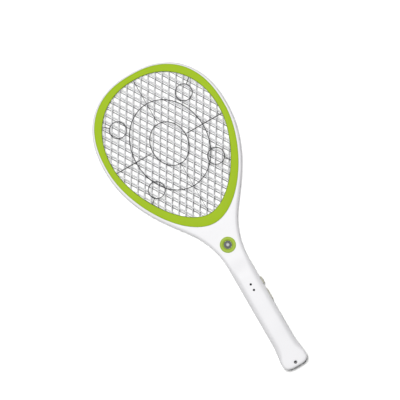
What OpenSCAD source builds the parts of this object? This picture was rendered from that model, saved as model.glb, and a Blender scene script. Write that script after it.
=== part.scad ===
// Electric fly swatter: a racket with a live grid between two guard meshes, a lamp in its neck
// and a rechargeable handle whose plug slides out of the end.
// It lies on its back. +X is its right, +Y points to the head and +Z out of the front face.
// Lengths are in millimetres.

/* [Outline] */
// Distance from the origin to the tip of the head, and to the end of the handle
half_len = 250; // [248:1:256]
// Half width of the head at its widest
head_half_w = 103.7; // [102.5:0.1:105]
// Height of the widest point above the origin
widest_y = 141.65; // [140:0.05:144]
// Squareness of the head's tip (2 is an ellipse)
tip_power = 2.32; // [2.2:0.01:2.4]
// How long the flanks stay straight below the widest point
flank_lead = 72.6; // [66:0.1:78]
// How long the flanks run straight into the neck
neck_lead = 33.3; // [30:0.1:36]
// Radius of the neck's hollow sides
neck_r = 123; // [115:1:130]
// Angle through which the neck's sides turn
neck_turn = 33.5; // [31:0.1:36]
// Where the neck becomes the straight handle
neck_end_y = -74.5; // [-77:0.1:-72]
// Half width of the straight handle
grip_half_w = 17.2; // [17:0.1:17.8]
// Half width of the flared handle end
flare_half_w = 20; // [19.5:0.1:20.5]
// Where the flare is widest
flare_y = -237; // [-238:0.5:-236]
// Squareness of the handle's end
end_power = 3.2; // [3:0.1:3.6]

/* [Thickness] */
// Thickness of the head
head_t = 24; // [24:0.5:25]
// Thickness of the handle
grip_t = 30; // [30:0.5:31]
// Height of the joint between the two shells
split_z = 12; // [12:0.1:12.2]
// Wall of the shells
wall = 2.2; // [2:0.1:2.4]
// Where the front face starts to rise from the neck to the handle
ramp_start_y = -58; // [-60:0.5:-57]
// Where the front face has risen to the handle
ramp_end_y = -98; // [-100:0.5:-97]

/* [Head opening] */
// Half width of the opening
open_half_w = 91.14; // [90.5:0.02:91.5]
// Top of the opening
open_top_y = 239.2; // [238.5:0.1:239.5]
// Bottom of the opening
open_bottom_y = 11.1; // [10.5:0.1:12]
// Half width of the coloured trim around it
trim_half_w = 100.02; // [99.8:0.02:100.3]
// Top of the trim
trim_top_y = 247.8; // [247.4:0.1:248]
// Bottom of the trim
trim_bottom_y = -4.5; // [-5:0.1:-4]
// Thickness of the trim rings' flanges
trim_t = 2.2; // [2:0.1:2.4]
// How far the front trim stands above the shell
trim_proud = 0.8; // [0.4:0.1:1]
// Thickness of the guard meshes
guard_t = 1; // [0.9:0.1:1.1]
// Thickness of the shells' ledges under the guard meshes
ledge_t = 2; // [1.8:0.1:2.2]

/* [Meshes] */
// Distance between neighbouring wires, measured across them
mesh_pitch = 10.33; // [9.5:0.01:12]
// Angle between the wires and the long axis
mesh_turn = 31.7; // [30:0.1:40]
// Width of a grid wire
grid_wire = 1.2; // [1:0.1:1.8]
// Width of a guard wire
guard_wire = 1.2; // [1:0.1:2]
// Middle of one hole of the live grid, the front guard and the rear guard
grid_hole = [4.4, 136.9];
front_guard_hole = [0.6, 130.6];
rear_guard_hole = [-5.4, 137.9];
// Thickness of the live grid
grid_t = 1; // [0.8:0.1:1.2]

/* [Lamp] */
// Where the lamp is along the neck
lamp_y = -42.3; // [-44:0.1:-41]
// Radius of the lamp's bezel
bezel_r = 12; // [11.5:0.1:12.5]
// Radius of the bezel's opening
lamp_r = 6.1; // [6:0.1:6.3]

/* [Controls] */
// Where the charging light is along the handle
charge_led_y = -110.1; // [-111:0.1:-109]
// Where the ready light is along the handle
ready_led_y = -119.6; // [-121:0.1:-119]
// Middle of the lamp switch's knob, switched off
knob_y = -113.05; // [-113.5:0.05:-112.5]
// Length of the knob
knob_len = 11.9; // [11:0.1:12.5]
// How far the knob slides towards the head
knob_travel = 4; // [3:0.1:4]
// Middle of the zap button
zap_y = -136.15; // [-137:0.05:-136]
// Length of the zap button
zap_len = 18.5; // [17:0.1:18.5]
// How far the zap button stands out of the handle
zap_proud = 1.3; // [1.2:0.1:1.6]
// Height of both controls' centres
control_z = 15.85; // [15.8:0.05:15.9]

/* [Plug] */
// Distance between the middles of the plug's blades
blade_gap = 12.7; // [12.6:0.1:12.8]
// Thickness of a blade
blade_t = 1.5; // [1.4:0.1:1.6]
// Width of a blade
blade_w = 6.35; // [6.2:0.05:6.5]
// How far the plug slides out
plug_travel = 17.5; // [16:0.1:17.5]

/* [Hang hole] */
// Where the hang hole is along the handle
hang_y = -243.2; // [-243.4:0.1:-243]
// Radius of the hang hole
hang_r = 2.35; // [2.2:0.05:2.4]

/* [Hidden] */
$fn = 48;

// Points in one quarter of an outline
curve_steps = 22;
// Margin by which a cut runs past the solid that it cuts
over = 1;
// Free space beside a part that moves or is dropped in
slack = 0.3;

// Levels, from the rest plane up
rear_guard_z = trim_t;
rear_ledge_z = rear_guard_z + guard_t;
rear_floor_z = rear_ledge_z + ledge_t;
front_ledge_z = head_t - trim_t - guard_t;
front_floor_z = front_ledge_z - ledge_t;
front_guard_z = front_ledge_z;
grid_z = split_z - grid_t / 2;
grip_ceiling_z = grip_t - wall;

// Distances outward from the edge of the head opening
ledge_edge = 1.4;
spacer_edge = 3.7;
guard_edge = 4;
trim_foot_edge = 4.4;
rim_screw_line = 6.2;

// The neck's hollow ends below the head's, past the trim's seat
neck_hollow_y = trim_bottom_y - 3.5;

// Circuit board in the handle
board_left = -12.5;
board_right = 10.8;
board_top_y = -84;
board_end_y = -148;
board_t = 1.6;
board_face_z = split_z + board_t;

// Transformer core: its ends, its middle leg and the windows beside the leg
core_top_y = -128;
core_end_y = -142;
core_leg_left = -6.1;
core_leg_right = -1.9;
core_window_w = 2.6;

// Battery
battery_w = 22;
battery_h = 19;
battery_z = 4;
battery_top_y = -155.5;
battery_end_y = -208.5;

// Plug carriage
carriage_half_w = 10;
carriage_z = 6.5;
carriage_h = 13;
carriage_back_y = -213.5;
carriage_front_y = -229.5;
carriage_slot_half_w = 4.3;
carriage_slot_y = -221.5;
blade_z = 13;
blade_tip_y = -248.6;
blade_root_y = -222;

// Thumb slider of the plug, in its pocket in the back
slider_half_w = 5.6;
slider_back_y = -212.8;
slider_front_y = -220.4;
slider_stem_half_w = 1.4;
slider_stem_back_y = -214.6;
slider_stem_front_y = -218.6;
pocket_depth = 3.8;
pocket_wall = 1.8;

// Zap button and lamp knob
zap_h = 7;
flange_t = 2;
flange_lap = 2;
side_wall_x = grip_half_w - wall;
knob_h = 7.2;
knob_neck_half_len = 2.5;
knob_neck_h = 5.6;
knob_flange_t = 1.5;
knob_flange_half_len = 7.5;
knob_out_x = 19.8;

// Screws
rim_screw_r = 1;
rim_screw_head_r = 1.9;
rim_screw_head_h = 1.1;
rim_boss_r = 2.3;
rim_screw_places = [0.055, 0.185, 0.3, 0.41];
grip_screw_r = 1.3;
grip_screw_head_r = 2.6;
grip_screw_head_h = 1.9;
grip_boss_r = 2.9;
grip_counterbore = 3;
grip_screw_spots = [[0, -70], [-9, -151.5], [14.3, -238], [-14.3, -238]];

// Supports that stand on the rear shell's floor, as [x, y, top]
posts = [[-10, -88, split_z], [7, -100, split_z], [-10, -145, split_z], [7, -145, split_z],
         [-8.5, lamp_y, 13], [8.5, lamp_y, 13]];
post_r = 2.2;

// Wires: the points that each one runs through
wire_r = 0.6;
high_voltage_route = [[-6, 0, 12.5], [-6, 0, 15], [-7.5, -3, 16.5], [-11, -12, 17], [-15, -27, 17],
    [-15.5, -42, 17], [-13.5, -56, 17], [-11.5, -68, 17], [-10, -80, 17], [-10, -84, 16.5],
    [-10, -85.3, 15], [-10, -85.3, 13.6]];
guard_route = [[6, 3.3, 15], [7.5, -2, 16], [11, -12, 17], [15, -27, 17], [15.5, -42, 17],
    [13.5, -56, 17], [11.5, -68, 17], [8.5, -80, 17], [8, -84, 16.5], [8, -85.3, 15],
    [8, -85.3, 13.6]];
lamp_route = [[-4, -48.5, 14.6], [-4, -48.5, 16.5], [-4.4, -50.5, 17.7], [-5, -58, 18],
    [-5.5, -70, 18], [-5, -80, 17.5], [-4.5, -84, 16.5], [-4.5, -85.3, 15], [-4.5, -85.3, 13.6]];
battery_route = [[-2.5, -155.5, 18], [-2.5, -152, 18], [-2.5, -148.5, 17], [-2.5, -147.2, 15.5],
    [-2.5, -147.2, 13.6]];
charge_right_route = [[12.9, -216, 13.6], [13, -206, 13.8], [13, -180, 14], [13, -157, 14],
    [11.5, -153, 15], [8.5, -150, 16.5], [6.5, -147.6, 16.3], [6, -147.2, 15], [6, -147.2, 13.6]];
charge_left_route = [[-12.9, -216, 13.6], [-13, -206, 13.8], [-13.2, -180, 14], [-13.4, -157, 15],
    [-13.4, -151, 16], [-12.2, -148, 16.5], [-11.4, -147.2, 15], [-11.4, -147.2, 13.6]];

white_plastic = "white";
lime_plastic = "yellowgreen";
pale_plastic = "gainsboro";
board_green = "darkgreen";
bare_metal = "silver";
brass = "goldenrod";
black_plastic = "dimgray";

// ---------------------------------------------------------------- outlines

// Quarter of a superellipse, from the tip on the long axis to the widest point on the right
function tip_curve(half_w, tip_y, side_y, power) = [
    for (i = [0 : curve_steps])
        let (turn = 90 * i / curve_steps)
        [half_w * pow(sin(turn), 2 / power), side_y + (tip_y - side_y) * pow(cos(turn), 2 / power)]
];

// Cubic curve through p0 and p3, without its first point
function bezier(p0, p1, p2, p3) = [
    for (i = [1 : curve_steps])
        let (t = i / curve_steps, u = 1 - t)
        u * u * u * p0 + 3 * u * u * t * p1 + 3 * u * t * t * p2 + t * t * t * p3
];

// Hollow side of the neck, ending on the straight handle
function neck_curve(steps = 8) = [
    for (i = [steps - 1 : -1 : 0])
        let (turn = neck_turn * i / steps)
        [grip_half_w + neck_r * (1 - cos(turn)), neck_end_y + neck_r * sin(turn)]
];

// The handle's side, from the straight part out to the flare
function flare_curve(start_y = -205, steps = 8) = [
    for (i = [0 : steps])
        let (t = i / steps)
        [grip_half_w + (flare_half_w - grip_half_w) * (1 - cos(180 * t)) / 2,
         start_y + (flare_y - start_y) * t]
];

// The rounded end of the handle
function end_curve(steps = 12) = [
    for (i = [1 : steps])
        let (turn = 90 * i / steps)
        [flare_half_w * pow(cos(turn), 2 / end_power),
         flare_y - (half_len + flare_y) * pow(sin(turn), 2 / end_power)]
];

// A closed clockwise outline from its right side
function both_sides(side) =
    concat(side, [for (i = [len(side) - 2 : -1 : 1]) [-side[i].x, side[i].y]]);

// An outline moved outward by d, or inward where d is negative
function grow(points, d) = [
    for (i = [0 : len(points) - 1])
        let (n = len(points), along = points[(i + 1) % n] - points[(i + n - 1) % n])
        points[i] - d * [along.y, -along.x] / norm(along)
];

// Right side of an egg-shaped loop round the opening
function egg_side(half_w, top_y, bottom_y, side_lead, bottom_lead, power) = concat(
    tip_curve(half_w, top_y, widest_y, power),
    bezier([half_w, widest_y], [half_w, widest_y - side_lead], [bottom_lead, bottom_y], [0, bottom_y])
);

neck_start = [grip_half_w + neck_r * (1 - cos(neck_turn)), neck_end_y + neck_r * sin(neck_turn)];
body_outline = both_sides(concat(
    tip_curve(head_half_w, half_len, widest_y, tip_power),
    bezier([head_half_w, widest_y], [head_half_w, widest_y - flank_lead],
           neck_start + neck_lead * [sin(neck_turn), cos(neck_turn)], neck_start),
    neck_curve(), flare_curve(), end_curve()
));
open_side = egg_side(open_half_w, open_top_y, open_bottom_y, 54.8, 42.2, 2.18);
open_outline = both_sides(open_side);
trim_outline = both_sides(egg_side(trim_half_w, trim_top_y, trim_bottom_y, 64, 47.3, 2.35));

// Places of the rim screws, the same on both sides
rim_screw_loop = grow(open_outline, rim_screw_line);
rim_screw_spots = [
    for (place = rim_screw_places, side = [1, -1])
        let (spot = rim_screw_loop[round(place * len(rim_screw_loop))])
        [side * spot.x, spot.y]
];

// ---------------------------------------------------------------- helpers

// A box between two opposite corners
module block(low, high) {
    translate(low) cube(high - low);
}

// An outline as a plate between two heights
module plate(points, z0, z1) {
    translate([0, 0, z0]) linear_extrude(z1 - z0) polygon(points);
}

// The band between two outlines, between two heights
module band(outer, inner, z0, z1) {
    translate([0, 0, z0]) linear_extrude(z1 - z0) difference() {
        polygon(outer);
        polygon(inner);
    }
}

// An upright cylinder between two heights
module pin(spot, r, z0, z1) {
    translate([spot.x, spot.y, z0]) cylinder(r = r, h = z1 - z0);
}

// A cylinder along +X between two places
module x_pin(y, z, r, x0, x1) {
    translate([x0, y, z]) rotate([0, 90, 0]) cylinder(r = r, h = x1 - x0);
}

// Everything above the front face, lowered by depth
module above_front(depth = 0) {
    rise = grip_t - head_t;
    slope = [
        for (i = [0 : 12])
            let (t = i / 12)
            [ramp_start_y + (ramp_end_y - ramp_start_y) * t,
             head_t - depth + rise * (1 - cos(180 * t)) / 2]
    ];
    translate([-150, 0, 0]) rotate([90, 0, 90]) linear_extrude(300)
        polygon(concat([[half_len + 10, 60], [half_len + 10, head_t - depth]], slope,
                       [[-half_len - 10, grip_t - depth], [-half_len - 10, 60]]));
}

// A wire of radius r swept along points, with flat ends
module wire(points, r = wire_r) {
    sides = 8;
    last = len(points) - 1;
    function direction(i) = let (d = points[min(i + 1, last)] - points[max(i - 1, 0)]) d / norm(d);
    function across(i) = let (d = direction(i), c = cross(d, abs(d.x) < 0.8 ? [1, 0, 0] : [0, 1, 0]))
        c / norm(c);
    rings = [
        for (i = [0 : last])
            let (a = across(i), b = cross(direction(i), a))
            for (k = [0 : sides - 1])
                points[i] + r * (cos(360 * k / sides) * a + sin(360 * k / sides) * b)
    ];
    walls = [
        for (i = [0 : last - 1], k = [0 : sides - 1])
            let (next = (k + 1) % sides)
            [i * sides + next, i * sides + k, (i + 1) * sides + k, (i + 1) * sides + next]
    ];
    start_cap = [for (k = [0 : sides - 1]) k];
    end_cap = [for (k = [sides - 1 : -1 : 0]) last * sides + k];
    polyhedron(points = rings, faces = concat(walls, [start_cap, end_cap]), convexity = 6);
}

// ---------------------------------------------------------------- shells

module rear_skin() {
    plate(grow(body_outline, -2.4), 0, 1.2);
    plate(grow(body_outline, -0.8), 1.2, 3.4);
    plate(body_outline, 3.4, split_z);
}

module front_skin() {
    intersection() {
        union() {
            plate(body_outline, split_z, head_t - 3.4);
            plate(grow(body_outline, -0.8), head_t - 3.4, head_t - 1.2);
            plate(grow(body_outline, -2.4), head_t - 1.2, head_t);
        }
        block([-150, ramp_start_y - 6, 0], [150, half_len + 10, 40]);
    }
    difference() {
        intersection() {
            union() {
                plate(body_outline, split_z, grip_t - 6);
                plate(grow(body_outline, -1), grip_t - 6, grip_t - 3);
                plate(grow(body_outline, -2.6), grip_t - 3, grip_t);
            }
            block([-150, -half_len - 10, 0], [150, ramp_start_y, 40]);
        }
        above_front();
    }
}

// The head's hollow, between the spacer rings and the outer wall
module head_hollow(z0, z1) {
    intersection() {
        plate(grow(body_outline, -wall), z0, z1);
        block([-150, neck_hollow_y - over, z0], [150, half_len, z1]);
    }
}

// The hollow of the neck and handle
module grip_hollow(z0, z1) {
    intersection() {
        plate(grow(body_outline, -wall), z0, z1);
        block([-150, -half_len, z0], [150, neck_hollow_y, z1]);
    }
}

// Slots for the plug's blades in the end wall
module blade_slots() {
    for (side = [-1, 1])
        translate([side * blade_gap / 2, -half_len, blade_z])
            cube([blade_t + 2 * slack, 10, blade_w + 2 * slack], center = true);
}

module rear_shell() {
    color(white_plastic) difference() {
        union() {
            difference() {
                rear_skin();
                head_hollow(rear_floor_z, split_z + over);
                grip_hollow(wall, split_z + over);
            }
            for (spot = rim_screw_spots)
                pin(spot, rim_boss_r, rear_floor_z, split_z);
            for (spot = grip_screw_spots)
                pin(spot, grip_boss_r + 0.5, wall, split_z);
            for (post = posts)
                pin(post, post_r, wall, post.z);
            for (y = [-165, -198])
                block([-battery_w / 2, y - 1, wall], [battery_w / 2, y + 1, battery_z]);
            pin([0, hang_y], hang_r + 1.2, wall, split_z);
            slider_pocket_walls();
            for (side = [-1, 1])
                translate([side * 11.2, -225, 6.5]) cube([1.6, 22, 10], center = true);
        }
        plate(grow(open_outline, ledge_edge), -over, split_z + over);
        plate(grow(trim_outline, 0.2), -over, rear_ledge_z);
        for (spot = rim_screw_spots)
            pin(spot, rim_screw_r + 0.25, 0, split_z + over);
        for (spot = grip_screw_spots) {
            pin(spot, grip_screw_r + 0.25, -over, split_z + over);
            pin(spot, grip_screw_head_r + 0.2, -over, grip_counterbore);
        }
        pin([6, 4], wire_r + 0.4, 0, split_z);
        pin([0, hang_y], hang_r, -over, split_z + over);
        block([-slider_half_w - 0.4, slider_front_y - plug_travel - 0.5, -over],
              [slider_half_w + 0.4, slider_back_y + 0.5, pocket_depth]);
        block([-slider_stem_half_w - slack, slider_stem_front_y - plug_travel - 0.4, 0],
              [slider_stem_half_w + slack, slider_stem_back_y + 0.4, 10]);
        blade_slots();
    }
}

// The box round the thumb slider's pocket, inside the rear shell
module slider_pocket_walls() {
    half_w = slider_half_w + 0.4 + pocket_wall;
    block([-half_w, slider_front_y - plug_travel - 0.5 - pocket_wall, 1.2],
          [half_w, slider_back_y + 0.5 + pocket_wall, pocket_depth + pocket_wall]);
}

module front_shell() {
    color(white_plastic) difference() {
        union() {
            difference() {
                front_skin();
                head_hollow(split_z - over, front_floor_z);
                difference() {
                    grip_hollow(split_z - over, grip_t);
                    above_front(wall);
                }
            }
            for (spot = rim_screw_spots)
                pin(spot, rim_boss_r, split_z, front_floor_z);
            for (spot = grip_screw_spots)
                pin(spot, grip_boss_r, split_z, spot.y > ramp_end_y ? 25 : grip_ceiling_z);
            pin([0, hang_y], hang_r + 1.2, split_z, grip_ceiling_z);
        }
        plate(grow(open_outline, ledge_edge), split_z - over, grip_t);
        plate(grow(trim_outline, 0.2), front_ledge_z, grip_t);
        for (spot = rim_screw_spots)
            pin(spot, rim_screw_r + 0.05, split_z - over, front_floor_z - 0.8);
        for (spot = grip_screw_spots)
            pin(spot, grip_screw_r + 0.05, split_z - over, 21.5);
        pin([6, 4], wire_r + 0.4, split_z, grip_t);
        pin([0, hang_y], hang_r, split_z - over, grip_t + over);
        pin([0, lamp_y], 7.9, split_z, grip_t);
        pin([0, charge_led_y], 1.65, split_z, grip_t + over);
        pin([0, ready_led_y], 1.65, split_z, grip_t + over);
        // Slot for the lamp knob's neck
        block([side_wall_x - over, knob_y - knob_neck_half_len - slack, split_z - over],
              [grip_half_w + over, knob_y + knob_neck_half_len + knob_travel + slack, 19.1]);
        // Window for the zap button
        block([side_wall_x - over, zap_y - zap_len / 2 - slack, split_z - over],
              [grip_half_w + over, zap_y + zap_len / 2 + slack, control_z + zap_h / 2 + slack]);
        blade_slots();
    }
}

// ---------------------------------------------------------------- head

// A trim ring, face down: flange, then the foot that stands on the shell's ledge
module trim_ring(flange_t) {
    difference() {
        union() {
            band(trim_outline, open_outline, 0, flange_t);
            band(trim_outline, grow(open_outline, trim_foot_edge), flange_t, flange_t + guard_t);
        }
        // Room for the guard mesh's terminal
        block([3, 0.5, flange_t], [9, 8, flange_t + guard_t + over]);
    }
}

module rear_trim_ring() {
    color(lime_plastic) difference() {
        trim_ring(trim_t);
        for (spot = rim_screw_spots) {
            pin(spot, rim_screw_r + 0.25, -over, 5);
            pin(spot, rim_screw_head_r + 0.15, -over, rim_screw_head_h + 0.1);
        }
    }
}

module front_trim_ring() {
    flange_t = trim_t + trim_proud;
    color(lime_plastic) translate([0, 0, head_t + trim_proud]) mirror([0, 0, 1])
        trim_ring(flange_t);
}

// Whether the whole of a mesh hole at spot lies inside the opening
function hole_fits(spot, reach) =
    let (widths = [for (p = open_side) [p.y, p.x]])
    abs(spot.x) + reach.x < lookup(spot.y, widths)
    && abs(spot.x) < lookup(spot.y + reach.y, widths)
    && abs(spot.x) < lookup(spot.y - reach.y, widths)
    && spot.y + reach.y < open_top_y && spot.y - reach.y > open_bottom_y;

// A flat diamond mesh with a solid edge, and a terminal that reaches into the rim
module diamond_mesh(edge, wire_w, z, thickness, hole, terminal) {
    step = mesh_pitch / sin(2 * mesh_turn);
    half_cell = step * [sin(mesh_turn), cos(mesh_turn)];
    reach = half_cell * (1 - wire_w / mesh_pitch);
    columns = ceil((open_half_w + abs(hole.x)) / half_cell.x);
    rows = ceil((open_top_y - open_bottom_y) / half_cell.y);
    translate([0, 0, z]) linear_extrude(thickness) difference() {
        polygon(grow(open_outline, edge));
        for (row = [-rows : rows], column = [-columns : columns])
            if ((row + column) % 2 == 0) {
                spot = hole + [column * half_cell.x, row * half_cell.y];
                if (hole_fits(spot, reach))
                    translate(spot)
                        polygon([[0, reach.y], [reach.x, 0], [0, -reach.y], [-reach.x, 0]]);
            }
    }
    block([terminal.x, terminal.y, z], [terminal.x + 5, terminal.y + 9, z + thickness]);
}

module high_voltage_grid() {
    color(bare_metal) diamond_mesh(spacer_edge, grid_wire, grid_z, grid_t, grid_hole, [-8.5, -1]);
}

module front_guard_mesh() {
    color(bare_metal) diamond_mesh(guard_edge, guard_wire, front_guard_z, guard_t, front_guard_hole, [3.5, 1]);
}

module rear_guard_mesh() {
    color(bare_metal) diamond_mesh(guard_edge, guard_wire, rear_guard_z, guard_t, rear_guard_hole, [3.5, 1]);
}

module spacer_ring(z0, z1) {
    color(pale_plastic)
        band(grow(open_outline, spacer_edge), grow(open_outline, ledge_edge), z0, z1);
}

module front_spacer_ring() {
    spacer_ring(grid_z + grid_t, front_floor_z);
}

module rear_spacer_ring() {
    spacer_ring(rear_floor_z, grid_z);
}

module high_voltage_lead() {
    color("red") wire(high_voltage_route);
}

module guard_lead() {
    color("black") wire(guard_route);
}

// Straight wire that joins the two guard meshes' terminals
module guard_link_wire() {
    color("black") pin([6, 4], wire_r, rear_ledge_z, front_ledge_z);
}

// ---------------------------------------------------------------- lamp

module lamp_bezel() {
    flange_top = head_t + 2;
    color(lime_plastic) translate([0, lamp_y, 0]) rotate_extrude() polygon([
        [lamp_r, 18.5], [7.7, 18.5], [7.7, head_t], [bezel_r, head_t], [bezel_r, flange_top - 0.8],
        [bezel_r - 0.8, flange_top], [7.6, flange_top], [lamp_r, flange_top - 1.6]
    ]);
}

module lamp_lens() {
    color("aliceblue") pin([0, lamp_y], lamp_r - 0.1, 22.9, 23.9);
}

module lamp_reflector() {
    color("lightgray") translate([0, lamp_y, 0]) rotate_extrude() polygon([
        [2.75, 16], [3.6, 16], [6, 22], [6, 22.9], [5.4, 22.9], [4.7, 20], [3.8, 17.6]
    ]);
}

module lamp_led() {
    color("lightyellow") translate([0, lamp_y, 0]) rotate_extrude() polygon([
        [0, 14.6], [2.9, 14.6], [2.9, 15.6], [2.5, 15.6], [2.5, 19.5], [2.1, 20.9], [1.2, 21.8],
        [0, 22]
    ]);
}

module lamp_board() {
    color(board_green) block([-11, lamp_y - 8, 13], [11, lamp_y + 8, 14.6]);
}

module lamp_leads() {
    color("gold") {
        wire(lamp_route);
        mirror([1, 0, 0]) wire(lamp_route);
    }
}

// ---------------------------------------------------------------- controls

// A 3 mm indicator light standing on the circuit board on two long legs
module indicator(y) {
    translate([0, y, 0]) {
        rotate_extrude() polygon([
            [0, 23.4], [1.5, 23.4], [1.5, 27.3], [1.1, 28.3], [0.5, 28.8], [0, 28.9]
        ]);
        for (side = [-1, 1])
            translate([side * 0.9 - 0.25, -0.25, board_face_z])
                cube([0.5, 0.5, 23.4 - board_face_z]);
    }
}

module charge_led() {
    color("darkred") indicator(charge_led_y);
}

module ready_led() {
    color("darkgreen") indicator(ready_led_y);
}

module lamp_switch_knob() {
    neck_low = control_z - knob_neck_h / 2;
    neck_high = control_z + knob_neck_h / 2;
    flange_x = side_wall_x - slack;
    color(pale_plastic) difference() {
        union() {
            // Ribbed cap outside the handle
            block([grip_half_w + 0.25, knob_y - knob_len / 2, control_z - knob_h / 2],
                  [knob_out_x - 0.6, knob_y + knob_len / 2, control_z + knob_h / 2]);
            for (i = [-3 : 3])
                translate([knob_out_x - 0.6, knob_y + i * 1.5, control_z])
                    cube([1.2, 0.7, knob_h - 0.8], center = true);
            block([flange_x, knob_y - knob_neck_half_len, neck_low],
                  [grip_half_w + 0.25, knob_y + knob_neck_half_len, neck_high]);
            block([flange_x - knob_flange_t, knob_y - knob_flange_half_len, neck_low - 1.5],
                  [flange_x, knob_y + knob_flange_half_len, neck_high + 1.5]);
        }
        // Pocket that grips the switch's slider
        block([0, knob_y - 1, 14.9], [14.2, knob_y + 1, 17.1]);
    }
}

module lamp_switch_slider() {
    color(black_plastic) block([9.9, knob_y - 1, 14.9], [14.2, knob_y + 1, 17.1]);
}

module lamp_switch_body() {
    middle = knob_y + knob_travel / 2;
    color(bare_metal) difference() {
        block([6.2, middle - 4.5, board_face_z], [board_right, middle + 4.5, 18.4]);
        block([9.6, middle - 3.3, 14.7], [board_right + over, middle + 3.3, 17.3]);
    }
}

module zap_button() {
    flange_x = side_wall_x - slack;
    color(pale_plastic) {
        block([flange_x, zap_y - zap_len / 2, control_z - zap_h / 2],
              [grip_half_w + zap_proud, zap_y + zap_len / 2, control_z + zap_h / 2]);
        block([flange_x - flange_t, zap_y - zap_len / 2 - flange_lap, control_z - zap_h / 2 - 1.5],
              [flange_x, zap_y + zap_len / 2 + flange_lap, control_z + zap_h / 2 + flange_lap]);
        x_pin(zap_y, 16, 2.2, 10.4, flange_x - flange_t);
    }
}

module zap_switch_plunger() {
    color(black_plastic) x_pin(zap_y, 16, 1.6, 7.9, 10.4);
}

module zap_switch_body() {
    color(black_plastic) difference() {
        block([4.8, zap_y - 3, board_face_z], [8.6, zap_y + 3, 18.9]);
        x_pin(zap_y, 16, 1.8, 6.4, 9);
    }
}

// ---------------------------------------------------------------- electronics

module circuit_board() {
    color(board_green) block([board_left, board_end_y, split_z],
                             [board_right, board_top_y, board_face_z]);
}

module transformer_core() {
    color(black_plastic) difference() {
        block([-11, core_end_y, board_face_z + 0.6], [3, core_top_y, 24.6]);
        // Windows for the winding on each side of the middle leg
        for (x = [core_leg_left - core_window_w, core_leg_right])
            block([x, core_end_y - over, board_face_z + 2.8],
                  [x + core_window_w, core_top_y + over, 22.4]);
    }
}

module transformer_winding() {
    gap = 0.1;
    overhang = 1.5;
    color("orange") difference() {
        block([core_leg_left - core_window_w + gap, core_end_y - overhang, 16.5],
              [core_leg_right + core_window_w - gap, core_top_y + overhang, 22.3]);
        block([core_leg_left - gap, core_end_y - gap, 16],
              [core_leg_right + gap, core_top_y + gap, 23]);
    }
}

module high_voltage_capacitor() {
    color("firebrick") block([-11, -102, board_face_z], [1, -96, 24.6]);
}

module dropper_capacitor() {
    color("gold") block([-11, -93.5, board_face_z], [7, -87, 25]);
}

module drive_transistor() {
    color(black_plastic) {
        block([-9, -147, 15.6], [-5.5, -144.5, 22]);
        for (x = [-8.4, -7.25, -6.1])
            translate([x - 0.25, -146, board_face_z]) cube([0.5, 0.5, 2]);
    }
}

// A small component lying across the board on bent legs, as [x, y] of its middle
module axial_part(spot, body_r, body_len) {
    z = board_face_z + body_r + 0.2;
    x_pin(spot.y, z, body_r, spot.x - body_len / 2, spot.x + body_len / 2);
    for (side = [-1, 1])
        translate([spot.x + side * (body_len / 2 + 0.5), spot.y, 0]) {
            translate([0, 0, (z + board_face_z + 0.3) / 2])
                cube([0.6, 0.6, z + 0.3 - board_face_z], center = true);
            translate([-side * 0.4, 0, z]) cube([1, 0.6, 0.6], center = true);
        }
}

module diodes() {
    color("black")
        for (y = [-106, -110, -114, -118])
            axial_part([-7.5, y], 1.2, 4.4);
}

module resistors() {
    color("tan")
        for (spot = [[5.5, -98], [5.5, -102], [-7.5, -122.5], [3.5, -124]])
            axial_part(spot, 0.9, 4.8);
}

module battery() {
    color("lightslategray") block([-battery_w / 2, battery_end_y, battery_z],
                                  [battery_w / 2, battery_top_y, battery_z + battery_h]);
}

module battery_pad() {
    color(black_plastic) block([-9, -197, battery_z + battery_h], [9, -167, grip_ceiling_z]);
}

module battery_leads() {
    color("red") {
        wire(battery_route);
        translate([4.5, 0, 0]) wire(battery_route);
    }
}

// ---------------------------------------------------------------- plug

module plug_carriage() {
    color(black_plastic) difference() {
        block([-carriage_half_w, carriage_front_y, carriage_z],
              [carriage_half_w, carriage_back_y, carriage_z + carriage_h]);
        // Gap that passes the hang hole's boss
        block([-carriage_slot_half_w, carriage_front_y - over, 0],
              [carriage_slot_half_w, carriage_slot_y, 40]);
        plug_blades();
    }
}

module plug_blades() {
    color(bare_metal)
        for (side = [-1, 1])
            translate([side * blade_gap / 2 - blade_t / 2, blade_tip_y, blade_z - blade_w / 2])
                cube([blade_t, blade_root_y - blade_tip_y, blade_w]);
}

module plug_slider() {
    color(pale_plastic) {
        block([-slider_half_w, slider_front_y, 1], [slider_half_w, slider_back_y, 3.5]);
        for (i = [-2 : 2])
            translate([0, (slider_front_y + slider_back_y) / 2 + i * 1.5, 0.8])
                cube([2 * slider_half_w - 1, 0.7, 0.6], center = true);
        block([-slider_stem_half_w, slider_stem_front_y, 3.5],
              [slider_stem_half_w, slider_stem_back_y, carriage_z]);
    }
}

module charge_contacts() {
    color(brass)
        for (side = [0, 1])
            mirror([side, 0, 0]) {
                block([10.5, -236, 12], [10.9, -214, 18]);
                block([10.5, -220, 11.5], [14, -214, 12]);
            }
}

module charge_leads() {
    color("saddlebrown") {
        wire(charge_right_route);
        wire(charge_left_route);
    }
}

// ---------------------------------------------------------------- screws

module rim_screws() {
    color(bare_metal)
        for (spot = rim_screw_spots) {
            pin(spot, rim_screw_head_r, 0.1, 0.1 + rim_screw_head_h);
            pin(spot, rim_screw_r, 0.1 + rim_screw_head_h, 17);
        }
}

module handle_screws() {
    color(bare_metal)
        for (spot = grip_screw_spots) {
            pin(spot, grip_screw_head_r, grip_counterbore - grip_screw_head_h, grip_counterbore);
            pin(spot, grip_screw_r, grip_counterbore, 21);
        }
}

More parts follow.
